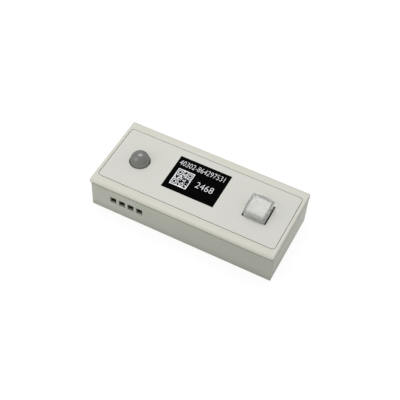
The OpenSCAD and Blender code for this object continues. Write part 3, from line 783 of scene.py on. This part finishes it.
threaded("board_screws", 0.8 * MM, 0.2 * MM)
threaded("case_screws", 1.0 * MM, 0.25 * MM)
for i in range(1, 5):
    threaded("terminal_screw_%d" % i, 0.5 * MM, 0.2 * MM)
with_second("processor_chip", "tinned_wire", outside_body("processor_chip", 1.2 * MM, 1.2 * MM))
with_second("bus_chip", "tinned_wire", outside_body("bus_chip", NO_LEGS, 1.25 * MM))
with_second("regulator_chip", "tinned_wire", outside_body("regulator_chip", NO_LEGS, 1.15 * MM))
chip_ends("chip_ends")
foot_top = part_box("buffer_capacitor")[1].z - 1.05 * MM
with_second("buffer_capacitor", "black_plastic", lambda p: p.z > foot_top)
board_low, board_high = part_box("main_board")
solder_joints("lamp_solder", "lamp_leads", board_low.z, -1)
solder_joints("switch_solder", "switch_contacts", board_low.z, -1)
solder_joints("terminal_solder", "terminal_contacts", board_high.z, 1)
socket_tails("socket_tails")
wound_spring("wound_spring")

lens_low, lens_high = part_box("display_lens")
lit_level = lens_high.z + 0.02 * MM


def on_lens(left, right, front, rear):
    """A room on the lens, given in millimetres from its left edge and from its rear edge."""
    edge, back = lens_low.x, lens_high.y
    return edge + left * MM, edge + right * MM, back - front * MM, back - rear * MM


def plain_digits(name, figures, left, right, low, high):
    """A row of plain digits that fills the given room on the lens."""
    curve = bpy.data.curves.new(name, "FONT")
    curve.body = figures
    curve.offset = -0.02
    curve.extrude = 0.01 * MM
    row = bpy.data.objects.new(name + "_curve", curve)
    scene.collection.objects.link(row)
    mesh = bpy.data.meshes.new_from_object(row.evaluated_get(bpy.context.evaluated_depsgraph_get()))
    bpy.data.objects.remove(row)
    least, greatest = corners_of([v.co for v in mesh.vertices])
    size = greatest - least
    least.z = 0
    mesh.transform(Matrix.Translation((left, low, lit_level))
                   @ Matrix.Diagonal(((right - left) / size.x, (high - low) / size.y, 1, 1))
                   @ Matrix.Translation(-least))
    mesh.materials.clear()
    mesh.materials.append(finishes["lit_dots"])
    add_piece(name, mesh, "housing", "screen_glass")


def code_field(name, left, right, low, high):
    """A square code that carries nothing: three corner marks, the rest lit by chance."""
    grower = Grower(name, Cells=23, Seed=7, Lit=0.32)
    cells = grower.entry.pick("Cells")
    grid = grower.node("GeometryNodeMeshGrid", None, {
        "Size X": 1 - 1 / cells, "Size Y": 1 - 1 / cells, "Vertices X": cells, "Vertices Y": cells})
    place = grower.position()
    column = (place * cells).rounded()
    row = (place.pick("Y") * cells).rounded()
    reach = (cells - 1) * 0.5
    border = abs(column).larger(abs(row)) > reach - 0.5
    chance = grower.node("FunctionNodeRandomValue", {"data_type": "FLOAT"}, {
        "Seed": grower.entry.pick("Seed")}, "Value_001")
    lit = chance < grower.entry.pick("Lit")
    for across, up in ((-1, 1), (1, 1), (-1, -1)):
        ring = abs(column - (reach - 4) * across).larger(abs(row - (reach - 4) * up))
        lines = (abs(ring - 2) < 0.5) + (abs(ring - 4) < 0.5)
        lit = lit * (ring > 4.5) + lines
    cell = grower.node("GeometryNodeMeshCube", None, {"Size": grower.node("ShaderNodeCombineXYZ", None, {
        "X": 1 / cells, "Y": 1 / cells, "Z": 0.02 * MM})}, "Mesh")
    dots = grower.node("GeometryNodeInstanceOnPoints", None, {
        "Points": grid, "Selection": (lit + border) > 0.5, "Instance": cell,
        "Scale": 0.84 + border * 0.15})
    grower.close(dots, finishes["lit_dots"])
    mesh = grower.bake(name)
    mesh.transform(Matrix.Translation(((left + right) / 2, (low + high) / 2, lit_level))
                   @ Matrix.Diagonal((right - left, high - low, 1, 1)))
    add_piece(name, mesh, "housing", "screen_glass")


plain_digits("screen_top_row", "40302-864297531", *on_lens(1.3, 27.2, 5.6, 2.2))
plain_digits("screen_count", "2468", *on_lens(15.5, 25.2, 15.5, 11.5))
code_field("screen_code", *on_lens(2.7, 12.2, 19.1, 7.9))


def seen_directly(tree):
    """1 where the camera sees a surface, also in a reflection or through something clear."""
    path = tree.node("ShaderNodeLightPath", out="Is Camera Ray")
    return path.larger(path.pick("Is Glossy Ray")).larger(path.pick("Is Transmission Ray"))


def pale_floor():
    """A wide floor that looks white and still takes the object's shadow."""
    sheet = bpy.data.meshes.new("floor")
    shape = bmesh.new()
    bmesh.ops.create_grid(shape, x_segments=4, y_segments=4, size=3.0)
    shape.to_mesh(sheet)
    shape.free()
    floor = bpy.data.objects.new("floor", sheet)
    scene.collection.objects.link(floor)
    pale = Finish("pale_floor")
    seen = seen_directly(pale)
    lit = pale.node("ShaderNodeBsdfDiffuse", None, {"Color": (0.2, 0.2, 0.2, 1)})
    glow = pale.node("ShaderNodeEmission", None, {"Color": (1, 1, 1, 1), "Strength": seen * 0.86})
    both = pale.node("ShaderNodeAddShader", None, {0: lit, 1: glow})
    pale.node("ShaderNodeOutputMaterial", None, {"Surface": both})
    sheet.materials.append(pale.material)


def soft_box(name, place, wide, deep, watts):
    """A light box that faces the object's upper side."""
    lamp = bpy.data.lights.new(name, "AREA")
    lamp.shape = "RECTANGLE"
    lamp.size = wide
    lamp.size_y = deep
    lamp.energy = watts
    box = bpy.data.objects.new(name, lamp)
    scene.collection.objects.link(box)
    box.location = place
    aim = Vector((0, 0, 0.02)) - box.location
    box.rotation_euler = aim.to_track_quat("-Z", "Y").to_euler()


def studio_light():
    """Even light from all round, a wide soft box above and a weak one at the front left."""
    world = bpy.data.worlds.new("studio")
    scene.world = world
    world.use_nodes = True
    world.node_tree.nodes.clear()
    sky = Tree(world.node_tree)
    seen = seen_directly(sky)
    up = sky.node("ShaderNodeSeparateXYZ", None, {
        "Vector": sky.node("ShaderNodeTexCoord", out="Generated")}, "Z")
    light = 0.6 + up.larger(0.0) * 0.06
    shown = sky.node("ShaderNodeMix", {"data_type": "FLOAT"}, {
        "Factor_Float": seen, "A_Float": light, "B_Float": 1.0}, "Result_Float")
    back = sky.node("ShaderNodeBackground", None, {"Color": (1, 1, 1, 1), "Strength": shown})
    sky.node("ShaderNodeOutputWorld", None, {"Surface": back})
    soft_box("top_box", place=(-0.1, 0.22, 0.7), wide=0.52, deep=0.18, watts=1.55)
    soft_box("side_box", place=(-0.25, -0.3, 0.25), wide=0.3, deep=0.3, watts=0.3)


def photo_camera():
    """The camera of the photograph, as fitted to the object's edges."""
    azimuth = math.radians(24.579)
    elevation = math.radians(51.495)
    roll = math.radians(3.418)
    aimed_at = Vector((-2.802, 7.22, 0)) * MM
    distance = 491.318 * MM
    focal_pixels = 919.386
    picture_side = 400
    sensor = 36.0
    level = math.cos(elevation)
    back = Vector((math.sin(azimuth) * level, -math.cos(azimuth) * level, math.sin(elevation)))
    right = (-back).cross(Vector((0, 0, 1))).normalized()
    up = right.cross(-back)
    turned_right = right * math.cos(roll) + up * math.sin(roll)
    turned_up = up * math.cos(roll) - right * math.sin(roll)
    eye = aimed_at + back * distance
    view = bpy.data.cameras.new("photo_view")
    view.sensor_width = sensor
    view.lens = focal_pixels / picture_side * sensor
    view.clip_start = 0.01
    camera = bpy.data.objects.new("photo_view", view)
    scene.collection.objects.link(camera)
    camera.matrix_world = Matrix((
        (turned_right.x, turned_up.x, back.x, eye.x),
        (turned_right.y, turned_up.y, back.y, eye.y),
        (turned_right.z, turned_up.z, back.z, eye.z),
        (0, 0, 0, 1)))
    scene.camera = camera


pale_floor()
studio_light()
photo_camera()
scene.view_settings.view_transform = "Standard"
